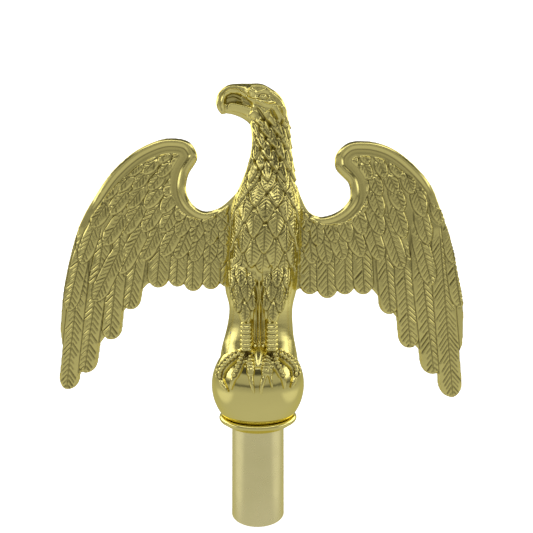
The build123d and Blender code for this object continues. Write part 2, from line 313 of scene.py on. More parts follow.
def outward_of(path):
    """Direction away from the ball's middle, for each point of a path."""
    rel = path - BALL_CENTRE
    return rel / np.linalg.norm(rel, axis=1)[:, None]


def add_foot_parts(clay):
    for toe, claw, radius, _ in TOES:
        path, bend = toe_path(toe, claw)
        share = np.linspace(0, 1, len(path))
        claw_share = np.clip((share - bend) / (1 - bend), 0, 1)
        slim = np.interp(claw_share, *np.array(CLAW_RADII).T)
        size = radius * np.where(share < bend, 0.85 + 0.15 * np.sin(np.pi * share / bend), slim)
        clay.tube(path + outward_of(path) * (0.1 * radius + 0.35 * smoothstep(claw_share * 4))[:, None], size)
    ridge = curve(BRIDGE, 16)
    path = np.column_stack([ridge[:, 0], front_of_base(ridge[:, 0], ridge[:, 1]), ridge[:, 1]])
    clay.tube(path - outward_of(path) * (ridge[:, 2] - 1.1)[:, None], ridge[:, 2])


# ---------------------------------------------------------------- the fused clay
def build_clay():
    clay = Clay()
    clay.rings(section_rings(TRUNK, 60) + section_rings(HEAD, 24)[1:])
    head_tube(clay, UPPER_BEAK)
    head_tube(clay, LOWER_BEAK)
    rims = [add_wing(clay, LEFT_EDGE, LEFT_INNER, LEFT_FLIGHT, LEFT_RIM_END, (-75, 150)),
            add_wing(clay, RIGHT_EDGE, RIGHT_INNER, RIGHT_FLIGHT, RIGHT_RIM_END, (75, 150))]
    for ankle in ANKLES:
        path = curve(THIGH, 20)
        outward = np.sign(ankle) * 2.4 * (path[:, 1] - THIGH[-1][1]) / (THIGH[0][1] - THIGH[-1][1])
        clay.tube(np.column_stack([ankle + outward, path[:, 0], path[:, 1]]), path[:, 2])
        path = curve(LEG, 10)
        clay.tube(np.column_stack([np.full(10, ankle), path]), LEG_R)
    add_foot_parts(clay)
    return clay, rims


def add_object(name, data):
    item = bpy.data.objects.new(name, data)
    bpy.context.scene.collection.objects.link(item)
    return item


def fuse(clay, voxel):
    """One closed skin over all of the clay's solids, returned as a mesh."""
    mesh = bpy.data.meshes.new("clay")
    mesh.from_pydata(np.vstack(clay.verts).tolist(), [], clay.faces)
    thing = add_object("clay", mesh)
    remesh = thing.modifiers.new("fuse", "REMESH")
    remesh.mode = "VOXEL"
    remesh.voxel_size = voxel
    relax = thing.modifiers.new("relax", "SMOOTH")
    relax.factor, relax.iterations = 0.5, 3
    fused = bpy.data.meshes.new_from_object(thing.evaluated_get(bpy.context.evaluated_depsgraph_get()))
    bpy.data.objects.remove(thing)
    bpy.data.meshes.remove(mesh)
    return fused


def read_points(mesh):
    co = np.zeros(len(mesh.vertices) * 3, np.float32)
    mesh.vertices.foreach_get("co", co)
    normal = np.zeros(len(mesh.vertices) * 3, np.float32)
    mesh.vertex_normals.foreach_get("vector", normal)
    return co.reshape(-1, 3).astype(float), normal.reshape(-1, 3).astype(float)


# ---------------------------------------------------------------- relief: one feather
FEATHER_BASE = 0.2          # height of a feather at its root


class Relief:
    """Height, and painted shade in the grooves, laid over points that have two flat coordinates, in
    millimetres.
    """

    def __init__(self, u, v):
        self.u, self.v = u, v
        self.height, self.groove_shade = np.zeros(len(u)), np.zeros(len(u))

    def feather(self, root, tip, width, rise=0.45, crown=0.3, point=0.0, pitch=2.6, slope=1.0,
                barb=0.42, quill=0.35, line=0.4, fade=0.25, edge_light=0.1):
        """Lay a feather over the others: it rises to its tip, and its outline, quill and barbs are cut in and
        given painted shade.
        """
        root, tip = np.array(root, float), np.array(tip, float)
        length = np.linalg.norm(tip - root)
        ahead = (tip - root) / length
        near = np.nonzero((np.abs(self.u - (root[0] + tip[0]) / 2) < length / 2 + width)
                          & (np.abs(self.v - (root[1] + tip[1]) / 2) < length / 2 + width))[0]
        du, dv = self.u[near] - root[0], self.v[near] - root[1]
        s = du * ahead[0] + dv * ahead[1]
        t = dv * ahead[0] - du * ahead[1]
        side, t = np.sign(t), np.abs(t)
        f = np.clip(s / length, 0, 1)
        half = feather_half(f, length, width, point)
        edge = np.minimum(half - t, (length - s) * (1.3 - 0.5 * point))
        start = smoothstep(s / length / fade)
        cover = smoothstep((edge + 0.1) / 0.35) * start
        shift, uneven, turn = RNG.uniform(0, 1, 3)
        pitch = pitch * (0.9 + 0.2 * uneven)
        count = (s - slope * (0.85 + 0.3 * turn) * t) / pitch + 0.5 * shift * side
        index = np.floor(count)
        chance = np.modf(np.abs(np.sin(index * 12.9898 + side * 78.233 + length * 3.7)) * 43758.5453)[0]
        dash = smoothstep(1 - np.abs(count - index - 0.5) / (0.24 + 0.1 * chance))
        dash *= (0.45 + 0.55 * chance) * smoothstep((half * (0.5 + 0.5 * chance) - t) / 0.6)
        dash *= smoothstep((t - 0.3) / 0.5) * smoothstep((edge - 0.45) / 0.7) * smoothstep(f / 0.12)
        shaft = np.exp(-(t / 0.3) ** 2) * smoothstep((length - s) / 4)
        body = FEATHER_BASE + rise * f + crown * (1 - np.clip(t / np.maximum(half, 0.3), 0, 1) ** 2)
        body += edge_light * np.exp(-((edge - 0.7) / 0.3) ** 2) - barb * dash - quill * shaft
        outline = np.exp(-(edge / 0.3) ** 2) * start * (s > 0)
        self.height[near] = self.height[near] * (1 - cover) + body * cover - line * outline
        # Painted shade along the cut barbs, quill and outline.
        cut = np.maximum(0.95 * dash, 0.8 * shaft)
        self.groove_shade[near] = np.maximum(self.groove_shade[near] * (1 - cover) + cut * cover, 0.9 * outline)


# ---------------------------------------------------------------- relief: wings
def covert_angle(x, row, spread, lean):
    """How far a covert at x leans outwards from straight down, in degrees."""
    x = abs(x)
    return (spread * smoothstep((x - 15) / 40) - 0.5 * spread * smoothstep((x - 84) / 18)
            + lean * row * smoothstep((x - 30) / 40))


# Tips of the coverts, row by row from the flight feathers up, from the outside in, then widths and lengths
# at the row's outer and inner end.
RIGHT_COVERTS = [
    ([(110.8, 107.8), (94.4, 120.1), (77.9, 128.9), (66.2, 133.2), (55.7, 135.3), (45.8, 133.7),
      (37.1, 131.5), (29.0, 131.5), (21.5, 131.0)], (9.0, 7.4), (40, 15)),
    ([(107.8, 131.7), (92.7, 142.6), (79.6, 145.8), (66.7, 147.3), (56.8, 147.2), (49.1, 143.4),
      (41.4, 142.8), (32.2, 141.2), (24.0, 140.5)], (8.4, 7.0), (24, 14)),
    ([(100.2, 153.7), (90.4, 157.4), (78.5, 160.0), (66.7, 157.1), (57.3, 159.7), (49.6, 153.1),
      (42.0, 150.9), (33.9, 149.8), (26.0, 148.5)], (8.0, 6.6), (18, 12)),
    ([(93.3, 169.0), (84.1, 169.9), (75.1, 169.7), (66.2, 168.5), (58.4, 168.4)], (7.0, 6.4), (14, 12)),
    ([(85.3, 177.6), (77.4, 178.5), (68.9, 178.3), (60.6, 177.1), (54.0, 177.0)], (6.6, 5.8), (12, 11)),
    ([(75.1, 185.0), (67.3, 185.9), (59.5, 185.2), (52.9, 183.5)], (6.0, 5.4), (10, 9)),
    ([(66.2, 190.6), (58.4, 191.1), (52.4, 188.9)], (5.6, 5.0), (8, 7)),
    ([(38.0, 153.2), (31.0, 153.0), (25.0, 154.5)], (6.4, 6.4), (9, 9))]
LEFT_COVERTS = [
    ([(-103.6, 106.0), (-88.6, 111.4), (-74.7, 126.5), (-62.4, 133.3), (-51.4, 135.6), (-43.4, 134.3),
      (-34.5, 132.8), (-26.0, 132.2), (-18.5, 132.0)], (9.0, 7.4), (40, 15)),
    ([(-96.5, 131.8), (-83.6, 141.8), (-73.0, 147.4), (-61.9, 149.0), (-51.9, 148.5), (-43.1, 145.8),
      (-34.3, 143.3), (-25.6, 141.6), (-17.8, 141.6)], (8.4, 7.0), (24, 14)),
    ([(-90.5, 151.5), (-80.5, 158.6), (-70.8, 161.6), (-60.8, 161.4), (-51.8, 158.9), (-43.4, 154.7),
      (-35.0, 151.0), (-27.0, 149.0), (-19.2, 149.0)], (8.0, 6.6), (18, 12)),
    ([(-85.2, 166.5), (-76.6, 170.9), (-67.8, 172.2), (-58.8, 171.4), (-50.2, 168.4)], (7.0, 6.4), (14, 12)),
    ([(-78.4, 176.6), (-70.4, 179.5), (-62.0, 180.0), (-53.6, 178.2), (-46.4, 176.0)], (6.6, 5.8), (12, 11)),
    ([(-69.4, 185.0), (-61.5, 187.0), (-53.6, 186.2), (-46.0, 183.5)], (6.0, 5.4), (10, 9)),
    ([(-59.6, 191.4), (-52.2, 191.9), (-45.6, 189.5)], (5.6, 5.0), (8, 7)),
    ([(-32.0, 155.6), (-25.5, 154.6), (-19.2, 156.0)], (6.4, 6.4), (9, 9))]


def paint_wing(relief, side, flight, coverts, spread, lean):
    """Relief of one wing: flight feathers, then rows of coverts, the outer feathers over the inner ones."""
    for root, tip, width in reversed(flight):
        relief.feather(root, tip, width * 1.04, pitch=2.9, slope=1.25, fade=0.08, rise=0.35, crown=0.7,
                       barb=0.75, quill=0.45, edge_light=0.0)
    for row, (tips, widths, lengths) in enumerate(coverts):
        for k in reversed(range(len(tips))):
            share = k / (len(tips) - 1)
            angle = math.radians(covert_angle(tips[k][0], row, spread, lean) + RNG.uniform(-2, 2))
            length = np.interp(share, (0, 1), lengths) * RNG.uniform(0.95, 1.05)
            root = (tips[k][0] - side * length * math.sin(angle), tips[k][1] + length * math.cos(angle))
            relief.feather(root, tips[k], np.interp(share, (0, 1), widths) * 1.14, rise=0.5, crown=0.65,
                           pitch=2.8 - 0.1 * row, slope=1.15, point=0.3, barb=0.75, edge_light=0.0)


# ---------------------------------------------------------------- relief: trunk and neck
def around(points):
    """Angle of points about the trunk, from mid breast towards +X, and their share of its radius."""
    x, y, wide, deep = trunk_at(points[:, 2])
    across, out = (points[:, 0] - x) / wide, (y - points[:, 1]) / deep
    return np.arctan2(across, out), np.hypot(across, out)


def paint_trunk(relief):
    """Rows of pointed breast feathers, then rows of long neck feathers that slant to the nape."""
    angle, z = relief.u.copy(), relief.v

    def row(tip_z, count, shift, length, width, slant, sag, **shape):
        radius = np.mean(trunk_at(tip_z + length / 2)[2:])
        for k in range(count):
            mid = (k + shift) * 2 * np.pi / count
            mid = (mid + np.pi) % (2 * np.pi) - np.pi
            relief.u = ((angle - mid + np.pi) % (2 * np.pi) - np.pi) * radius
            drop = sag * (1 - math.cos(mid)) + RNG.uniform(-0.5, 0.5)
            run = length * math.tan(math.radians(slant)) * math.cos(mid)
            relief.feather((-run, tip_z + drop + length), (0.0, tip_z + drop), width * radius, **shape)

    row(126.5, 10, 0.0, 12.0, 0.5, 0, 1.0, rise=0.6, crown=0.6, point=0.3, pitch=1.9, slope=0.8)
    for k in range(6):
        row(128.5 + 7.9 * k, 10, 0.5 * ((k + 1) % 2), 17.0, 0.69, 0, 2.2, rise=0.9, crown=0.85, point=0.75,
            pitch=1.9, slope=0.9, barb=0.5, line=0.55)
    for k in range(6):
        row(173.0 + 5.9 * k, 10, 0.5 * (k % 2), 14.0, 0.62, 10 + 4.0 * k, 2.0, rise=1.2, crown=1.5, point=0.9,
            barb=0.0, quill=0.55, line=0.6)
    relief.u = angle
    throat = smoothstep((-1.05 - angle) / 0.2) * smoothstep((2.3 + angle) / 0.2) * smoothstep((z - 166) / 8)
    relief.height += throat * (1.3 - relief.height)
    relief.groove_shade *= 1 - throat


# ---------------------------------------------------------------- relief: head
# Ridges and grooves of the head: points (x, z) in the wing plane, width, height.
HEAD_LINES = [
    ([(-17.6, 212.8), (-18.9, 217.5), (-17.9, 221.3), (-14.6, 223.6), (-11.0, 223.2), (-7.6, 221.3),
      (-4.8, 218.6), (-2.0, 215.4)], 0.6, 0.55),
    ([(-19.3, 213.6), (-20.3, 218.3), (-18.8, 222.8), (-15.0, 225.0), (-11.0, 224.6), (-7.2, 222.4),
      (-4.6, 219.8)], 0.5, -0.5),
    ([(-15.2, 217.0), (-10.0, 215.6), (-5.7, 214.1), (-2.5, 212.6)], 0.5, 0.4),
    ([(-4.6, 222.4), (-1.3, 223.7), (1.9, 223.2), (5.1, 221.4), (8.8, 218.4), (11.5, 215.4),
      (13.3, 212.0)], 1.2, 1.0),
    ([(-4.0, 224.7), (0.8, 225.0), (4.6, 223.9), (8.2, 221.5), (11.8, 218.0)], 0.6, -0.8),
    ([(-4.3, 220.6), (-3.4, 221.3), (-2.2, 220.6)], 1.2, 1.3),
    ([(-5.6, 218.8), (-2.6, 217.2), (0.2, 215.9), (3.3, 214.4), (6.0, 213.6), (8.4, 214.2)], 0.8, 0.9),
    ([(-6.0, 217.2), (-2.6, 215.5), (0.4, 214.0), (3.4, 212.4)], 0.55, -0.45),
    ([(8.6, 213.6), (9.8, 210.6), (12.0, 206.6)], 1.35, 1.9),
    ([(11.9, 213.4), (13.3, 210.4), (14.7, 206.4)], 1.0, 1.1),
    ([(5.0, 210.6), (6.6, 207.4), (9.2, 203.6)], 1.2, 1.5),
    ([(10.6, 214.2), (11.9, 210.8), (13.8, 206.0)], 0.5, -0.9),
    ([(6.8, 212.4), (8.2, 208.8), (10.6, 205.0)], 0.5, -0.9),
    ([(-1.6, 213.2), (0.8, 210.4), (3.0, 206.8)], 1.0, -1.1)]
MOUTH_PANEL = [(-16.9, 213.8), (-18.0, 218.1), (-17.0, 221.2), (-14.4, 222.8), (-11.1, 222.3), (-7.9, 220.5),
               (-5.2, 217.9), (-2.4, 214.8), (-2.7, 213.4), (-5.7, 214.7), (-10.0, 216.2), (-14.2, 217.5),
               (-15.5, 216.6), (-16.2, 214.3)]
MOUTH_LINE = [(-17.0, 219.5), (-13.5, 220.3), (-8.5, 218.2), (-3.0, 214.0)]
EYE = (2.9, 218.7)
EYE_R = 1.6
LID_R = 2.6                 # middle of the raised lids around the eye


def inside(points, outline):
    """Which points lie inside an outline."""
    hit = np.zeros(len(points), bool)
    for (ax, ay), (bx, by) in zip(outline, np.roll(outline, -1, axis=0)):
        crosses = (ay > points[:, 1]) != (by > points[:, 1])
        hit ^= crosses & (points[:, 0] < (bx - ax) * (points[:, 1] - ay) / (by - ay + 1e-9) + ax)
    return hit


def paint_head(flat):
    """Relief of the beak, mouth, brow, eye and cheek, the same on both sides of the head."""
    height = np.zeros(len(flat))
    for line, width, amount in HEAD_LINES:
        path = curve(line, 30)
        gap, share = distance_to(flat, path)
        height += 1.25 * amount * np.exp(-(gap / width) ** 2) * smoothstep(share / 0.08 + 0.2)
    panel = np.array(MOUTH_PANEL)
    rim, _ = distance_to(flat, np.vstack([panel, panel[:1]]))
    depth = np.where(inside(flat, panel), smoothstep(rim / 0.9), 0.0)
    streak, _ = distance_to(flat, curve(MOUTH_LINE, 20))
    height -= depth * (0.95 + 0.2 * np.cos(2 * np.pi * streak / 1.15))
    gap = np.hypot((flat[:, 0] - EYE[0]) * 0.72, flat[:, 1] - EYE[1])
    height -= 0.9 * np.exp(-(gap / 3.0) ** 4)
    height += 0.85 * np.exp(-((gap - LID_R) / 0.42) ** 2)
    height += np.where(gap < EYE_R, 1.1 * np.sqrt(np.clip(1 - (gap / EYE_R) ** 2, 0, 1)), 0.0)
    height -= 0.8 * np.exp(-(gap / 0.55) ** 2)
    return height


# ---------------------------------------------------------------- relief: thighs, legs and toes
BAND_PITCH = 2.15
TOE_BAND_PITCH = 1.75
BEAD_PITCH = 1.95
BEAD_R = 1.25
# Feathers of the left thigh, lowest first: root and tip (x, z) and width. The right thigh's are mirrored.
THIGH_FEATHERS = [
    ((-6.4, 113.0), (-5.9, 102.4), 6.8), ((-11.0, 118.0), (-9.4, 106.6), 5.6),
    ((-3.0, 118.0), (-2.9, 107.6), 4.6), ((-14.6, 124.0), (-13.6, 111.4), 5.6),
    ((-10.6, 125.0), (-8.6, 110.9), 6.6), ((-5.4, 126.0), (-5.2, 112.3), 6.6),
    ((-14.4, 131.0), (-12.8, 119.0), 6.4), ((-8.8, 132.0), (-8.0, 119.4), 6.6),
    ((-3.0, 128.0), (-2.9, 118.6), 5.0)]


def paint_thighs(relief):
    for side in (1, -1):
        for root, tip, width in THIGH_FEATHERS:
            ends = [(LEG_MIDDLE + side * (x - LEG_MIDDLE), z) for x, z in (root, tip)]
            relief.feather(*ends, width, rise=0.9, crown=0.8, point=0.65, pitch=1.7, slope=1.3,
                           barb=0.5, line=0.5)


def bead_centres(path, bend, radius, rows):
    """Middles of the beads on top of a toe, in one or two staggered rows."""
    run = np.concatenate([[0], np.cumsum(np.linalg.norm(np.diff(path, axis=0), axis=1))])
    outward = outward_of(path)
    across = np.cross(np.gradient(path, axis=0), outward)
    across /= np.linalg.norm(across, axis=1)[:, None]
    centres = []
    for row in range(rows):
        at = np.arange(0.8 + 0.5 * BEAD_PITCH * row, run[-1] * bend, BEAD_PITCH)
        aside = 0.0 if rows == 1 else (row - 0.5) * 2.3
        for a in at:
            point, out, over = [np.array([np.interp(a, run, part[:, k]) for k in range(3)])
                                for part in (path, outward, across)]
            centres.append(point + out * radius * 0.95 + over * aside)
    return centres


def paint_toes(points, height, groove_shade):
    """Beads or bands along the toes; the claws stay smooth."""
    near = np.nonzero((points[:, 2] < 90) & (points[:, 1] < -5))[0]
    p = points[near]
    # up is the height of the beads and bands; dark is painted shade in the lines around the beads and between
    # the bands.
    up, dark = np.zeros(len(near)), np.zeros(len(near))
    for toe, claw, radius, rows in TOES:
        path, bend = toe_path(toe, claw)
        if rows:
            for centre in bead_centres(path, bend, radius, rows):
                gap = np.linalg.norm(p - centre, axis=1) / BEAD_R
                up = np.maximum(up, 1.0 * np.sqrt(np.clip(1 - gap**2, 0, 1)))
                dark = np.maximum(dark, np.exp(-((gap - 1.15) / 0.25) ** 2))
        else:
            gap = np.linalg.norm(p[:, None, :] - path[None, ::2, :], axis=2)
            share = gap.argmin(axis=1) / (gap.shape[1] - 1)
            along = share * np.linalg.norm(np.diff(path, axis=0), axis=1).sum()
            band = np.abs(np.sin(np.pi * along / TOE_BAND_PITCH)) ** 0.6
            on_toe = smoothstep((radius + 0.7 - gap.min(axis=1)) / 0.5) * smoothstep((bend - share) / 0.05)
            up += on_toe * (0.5 * band - 0.25)
            dark = np.maximum(dark, on_toe * (1 - band) ** 2)
    beaded = dark > 0
    height[near] += up - 0.25 * beaded * dark
    groove_shade[near] = np.maximum(groove_shade[near], dark * (up < 0.6))


def paint_limbs(points, height, groove_shade):
    """Thigh feathers, bands on the legs, the hollow at each ankle, folds between the legs, and the toes, with
    painted shade in their grooves.
    """
    x, y, z = points.T
    thigh = smoothstep((z - 101.0) / 1.5) * smoothstep((131 - z) / 3) * smoothstep((-y - 7.5) / 2)
    thigh *= smoothstep((np.abs(x - LEG_MIDDLE) - 1.0) / 1.2)
    pick = np.nonzero(thigh > 0)[0]
    leaves = Relief(x[pick], z[pick])
    paint_thighs(leaves)
    height[pick] = height[pick] * (1 - thigh[pick]) + (leaves.height - 0.7) * thigh[pick]
    groove_shade[pick] = groove_shade[pick] * (1 - thigh[pick]) + leaves.groove_shade * thigh[pick]
    for ax in ANKLES:
        leg = smoothstep(102.0 - z) * smoothstep(z - 87.4) * smoothstep(-y - 11.5)
        leg *= smoothstep((3.4 - np.abs(x - ax)) / 0.6)
        band = np.abs(np.sin(np.pi * (z - 87.5) / BAND_PITCH)) ** 0.6
        height += leg * (0.9 * band - 0.45)
        # Painted shade between the leg's bands and in the hollow at the ankle.
        groove_shade[:] = np.maximum(groove_shade, leg * (1 - band) ** 2)
        pit = np.exp(-((x - ax) ** 2 / 1.4**2 + (z - 86.2) ** 2 / 1.7**2)) * (y < -8)
        height -= 1.5 * pit
        groove_shade[:] = np.maximum(groove_shade, pit)
    paint_toes(points, height, groove_shade)
    between = smoothstep((4.2 - np.abs(x - LEG_MIDDLE)) / 1.5) * smoothstep((-y - 7) / 1.5)
    between *= smoothstep((z - 88) / 3) * smoothstep((125 - z) / 4)
    fold = np.cos(2 * np.pi * (x - LEG_MIDDLE) / 2.7)
    height += between * 0.4 * fold
    # Painted shade in the folds between the legs.
    groove_shade[:] = np.maximum(groove_shade, between * smoothstep(-fold) * 0.5)


# ---------------------------------------------------------------- relief: all of it
SWELL = 0.22                # what the fusing took off the outline
# Width of the smooth strip between a wing's edge and its feathers, from the body (0) to the rim's end (1).
RIM_MARGIN = ((0, 0.06, 0.14, 0.22, 0.35, 0.5, 0.75, 0.97, 1.0),
              (0.6, 0.8, 2.2, 6.4, 8.6, 8.4, 7.2, 4.0, 0.5))


def sculpt(co, normal, rims):
    """Move the skin's points to their relief. Returns the points and the painted shade each one gets in the
    grooves.
    """
    flat = co[:, [0, 2]]
    u, v = flat.T
    angle, share = around(co)
    wing, wing_groove_shade = np.zeros(len(co)), np.zeros(len(co))
    left = u < 0
    for side, where, flight, coverts, spread, lean, rim in (
            (-1, left, LEFT_FLIGHT, LEFT_COVERTS, 28, 4, rims[0]),
            (1, ~left, RIGHT_FLIGHT, RIGHT_COVERTS, 18, 1, rims[1])):
        pick = np.nonzero(where & (np.abs(co[:, 1]) < 6))[0]
        relief = Relief(u[pick], v[pick])
        paint_wing(relief, side, flight, coverts, spread, lean)
        gap, along = distance_to(flat[pick], rim[::3])
        margin = np.interp(along, *RIM_MARGIN)
        field = smoothstep((gap - margin) / 1.0)
        wing[pick] = relief.height * field
        # Painted shade along the smooth trough inside the rolled rim.
        valley_shade = 0.55 * np.exp(-((gap - 4.4) / 0.35) ** 2) + 0.22 * np.exp(-((gap - 6.2) / 1.4) ** 2)
        valley_shade *= smoothstep((along - 0.12) / 0.08) * (along < 0.995)
        wing_groove_shade[pick] = np.maximum(relief.groove_shade * field, valley_shade)
    facing = smoothstep((np.abs(normal[:, 1]) - 0.25) / 0.4)
    on_wing = smoothstep((5.0 - np.abs(co[:, 1])) / 1.2) * smoothstep((share - 1.0) / 0.12) * facing
    on_trunk = smoothstep((1.17 - share) / 0.12) * smoothstep((209.0 - v) / 4)
    trunk, trunk_groove_shade = np.zeros(len(co)), np.zeros(len(co))
    pick = np.nonzero((on_trunk > 0) & (v > 118))[0]
    relief = Relief(angle[pick], v[pick])
    paint_trunk(relief)
    clear = np.maximum(smoothstep((np.abs(co[pick, 1]) - 2.5) / 3), smoothstep((v[pick] - 170) / 6))
    body = on_trunk[pick] * smoothstep((v[pick] - 122) / 4) * clear
    trunk[pick] = (relief.height - 0.85 - 0.6 * smoothstep((v[pick] - 158) / 15)) * body
    trunk_groove_shade[pick] = relief.groove_shade * body
    paint_limbs(co, trunk, trunk_groove_shade)
    pick = np.nonzero(v > 203)[0]
    head = np.zeros(len(co))
    cheek = smoothstep((np.abs(normal[pick, 1]) - 0.15) / 0.4) * smoothstep((v[pick] - 204) / 3)
    head[pick] = paint_head(flat[pick]) * cheek
    # Sunken parts of the head get painted shade too.
    groove_shade = np.maximum(wing_groove_shade * on_wing, trunk_groove_shade) + smoothstep(-head / 0.9) * 0.5
    moved = co + normal * (SWELL + trunk + head)[:, None]
    moved[:, 1] += np.sign(normal[:, 1]) * wing * on_wing
    return moved, np.clip(groove_shade, 0, 1)


def seat_on_ball(co):
    """Push what would be inside the ball out to just under the ball's surface."""
    rel = co - BALL_CENTRE
    radius = np.linalg.norm(rel, axis=1)
    sunk = BALL_R - 0.6
    inner = radius < sunk
    co[inner] = BALL_CENTRE + rel[inner] * (sunk / radius[inner])[:, None]
    return co


# ---------------------------------------------------------------- the two castings
STRIP = 8.0                 # the flat seam faces are cut in strips, so that they can follow the wings' bend
UV_SPAN = 0.26              # metres across the baked picture
NEAR = 1e-7                 # metres, within which a point is on a plane


def on_seam(face):
    return all(abs(v.co.y) < NEAR for v in face.verts)


def cut_half(skin, front):
    """The half of the skin in front of, or behind, the seam, with the seam closed."""
    work = bmesh.new()
    work.from_mesh(skin)
    everything = work.verts[:] + work.edges[:] + work.faces[:]
    cut = bmesh.ops.bisect_plane(work, geom=everything, plane_co=(0, 0, 0), plane_no=(0, 1, 0), dist=NEAR,
                                 clear_outer=front, clear_inner=not front)
    border = [e for e in cut["geom_cut"] if isinstance(e, bmesh.types.BMEdge)]
    bmesh.ops.triangle_fill(work, use_beauty=False, use_dissolve=True, edges=border)
    for e in border:
        e.smooth = False
    x = -WING_HALF_SPAN * MM
    while x < WING_HALF_SPAN * MM:
        x += STRIP * MM
        flat = [f for f in work.faces if on_seam(f)]
        parts = list({v for f in flat for v in f.verts} | {e for f in flat for e in f.edges}) + flat
        bmesh.ops.bisect_plane(work, geom=parts, plane_co=(x, 0, 0), plane_no=(1, 0, 0), dist=NEAR)
    bmesh.ops.triangulate(work, faces=[f for f in work.faces if len(f.verts) > 4])
    bmesh.ops.recalc_face_normals(work, faces=work.faces[:])
    return work


def finish_half(work, name):
    """Give a half its map for baking and the sweep of its wings. The seam's map is a small corner."""
    uv = work.loops.layers.uv.new("OFBake")
    for f in work.faces:
        f.smooth = True
        flat = on_seam(f)
        for loop in f.loops:
            x, z = loop.vert.co.x / UV_SPAN + 0.5, loop.vert.co.z / UV_SPAN
            loop[uv].uv = (0.02 + x * 0.08, 0.02 + z * 0.08) if flat else (x, z)
    for v in work.verts:
        v.co.y += WING_SWEEP * MM * (v.co.x / (WING_HALF_SPAN * MM)) ** 2
    mesh = bpy.data.meshes.new(name)
    work.to_mesh(mesh)
    work.free()
    return add_object(name, mesh)


clay, rims = build_clay()
skin = fuse(clay, VOXEL)
co, normal = read_points(skin)
co, groove_shade = sculpt(co, normal, rims)
co = seat_on_ball(co)
skin.vertices.foreach_set("co", (co * MM).astype(np.float32).ravel())
# The painted shade in the grooves goes onto the skin as an attribute, which darkens the gold's colour.
skin.attributes.new("groove_shade", "FLOAT", "POINT").data.foreach_set("value", groove_shade.astype(np.float32))
skin.update()
halves = {}
for name, node, front in (("eagle_front_casting", "eagle_front", True),
                          ("eagle_back_casting", "eagle_back", False)):
    piece = finish_half(cut_half(skin, front), name)
    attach(piece, "ornament")
    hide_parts(node)
    halves[node] = piece


# ---------------------------------------------------------------- turned pieces
def lathe(name, outline, steps=192):
    """A piece turned about Z from a closed outline of (radius, height) points in millimetres."""
    outline = np.array(outline, float)
    turn = np.linspace(0, 2 * np.pi, steps, endpoint=False)
    verts = np.array([(r * math.cos(a), r * math.sin(a), z) for r, z in outline for a in turn]) * MM
    n = len(outline)
    faces = [(i * steps + k, i * steps + (k + 1) % steps, (i + 1) % n * steps + (k + 1) % steps,
              (i + 1) % n * steps + k) for i in range(n) for k in range(steps)]
    mesh = bpy.data.meshes.new(name)
    mesh.from_pydata(verts.tolist(), [], faces)
    work = bmesh.new()
    work.from_mesh(mesh)
    bmesh.ops.recalc_face_normals(work, faces=work.faces[:])
    work.to_mesh(mesh)
    work.free()
    mesh.shade_smooth()
    mesh.set_sharp_from_angle(angle=math.radians(32))
    return add_object(name, mesh)


def arc(centre, radius, start, end, count):
    """Points of an arc from start to end, in degrees from the outward direction."""
    angle = np.radians(np.linspace(start, end, count))
    return [(centre[0] + radius * math.cos(a), centre[1] + radius * math.sin(a)) for a in angle]


ferrule_high = node_box("ferrule")[1]
collar_low, collar_high = node_box("collar")
plug_low, plug_high = node_box("ferrule_plug")
TUBE_R = ferrule_high[0]
TUBE_H = ferrule_high[2]
PLUG_R = plug_high[0]
BORE_R = 12.75
LIP_R = 1.3
LIP = (collar_high[0] - LIP_R, collar_high[2] - LIP_R)
BALL_WALL = 1.5
BALL_FLAT_Z = ball_low[2]


def make_ferrule():
    lip = 0.3
    return lathe("ferrule_tube", [
        (BORE_R + 0.2, 0.0), (TUBE_R - lip, 0.0), *arc((TUBE_R - lip, lip), lip, -75, 0, 5),
        (TUBE_R, TUBE_H / 3), (TUBE_R, 2 * TUBE_H / 3), (TUBE_R, TUBE_H), (PLUG_R, TUBE_H),
        (PLUG_R, plug_low[2]), (BORE_R, plug_low[2]), (BORE_R, plug_low[2] / 2), (BORE_R, 0.2)])


def make_collar():
    """A spun dish: a flat floor on the ferrule, a flared wall, and a lip rolled over outwards."""
    wall = 1.0
    floor_z = collar_low[2]
    outer = curve([(TUBE_R - 0.6, floor_z), (TUBE_R + 0.8, floor_z + 0.1), (TUBE_R + 3.0, floor_z + 1.1),
                   (LIP[0] - 0.8, LIP[1] - 2.0), (LIP[0] - 0.1, LIP[1] - LIP_R)], 14)
    inner = curve([(LIP[0] - 1.2, LIP[1] - 0.3), (LIP[0] - 2.3, LIP[1] - 1.7),
                   (TUBE_R + 1.3, floor_z + wall + 0.35), (TUBE_R - 0.3, floor_z + wall + 0.02),
                   (TUBE_R - 1.0, floor_z + wall)], 14)
    hole = 8.2
    return lathe("collar_ring", [(hole, floor_z), *map(tuple, outer), *arc(LIP, LIP_R, -82, 165, 18),
                                 *map(tuple, inner), (hole, floor_z + wall)])


def make_ball():
    """The hollow ball, closed but for its flat underside and the rod's holes."""
    flat = math.asin((BALL_FLAT_Z - BALL_Z) / BALL_R)
    top = math.acos(ROD_HOLE_R / BALL_R)
    inner_r = BALL_R - BALL_WALL
    inner_flat = math.asin((BALL_FLAT_Z + BALL_WALL - BALL_Z) / inner_r)
    inner_top = math.acos(ROD_HOLE_R / inner_r)
    centre = (0.0, BALL_Z)
    return lathe("ball_shell", [
        (ROD_HOLE_R, BALL_FLAT_Z), *arc(centre, BALL_R, math.degrees(flat), math.degrees(top), 96),
        *arc(centre, inner_r, math.degrees(inner_top), math.degrees(inner_flat), 48),
        (ROD_HOLE_R, BALL_FLAT_Z + BALL_WALL)])


turned = {}
for make, node, body, slot in ((make_ferrule, "ferrule", "pole_ferrule", "ferrule_brass"),
                               (make_collar, "collar", "pole_ferrule", "gilt"),
                               (make_ball, "ball", "ornament", "gilt")):
    piece = make()
    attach(piece, body)
    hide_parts(node)
    turned[node] = piece


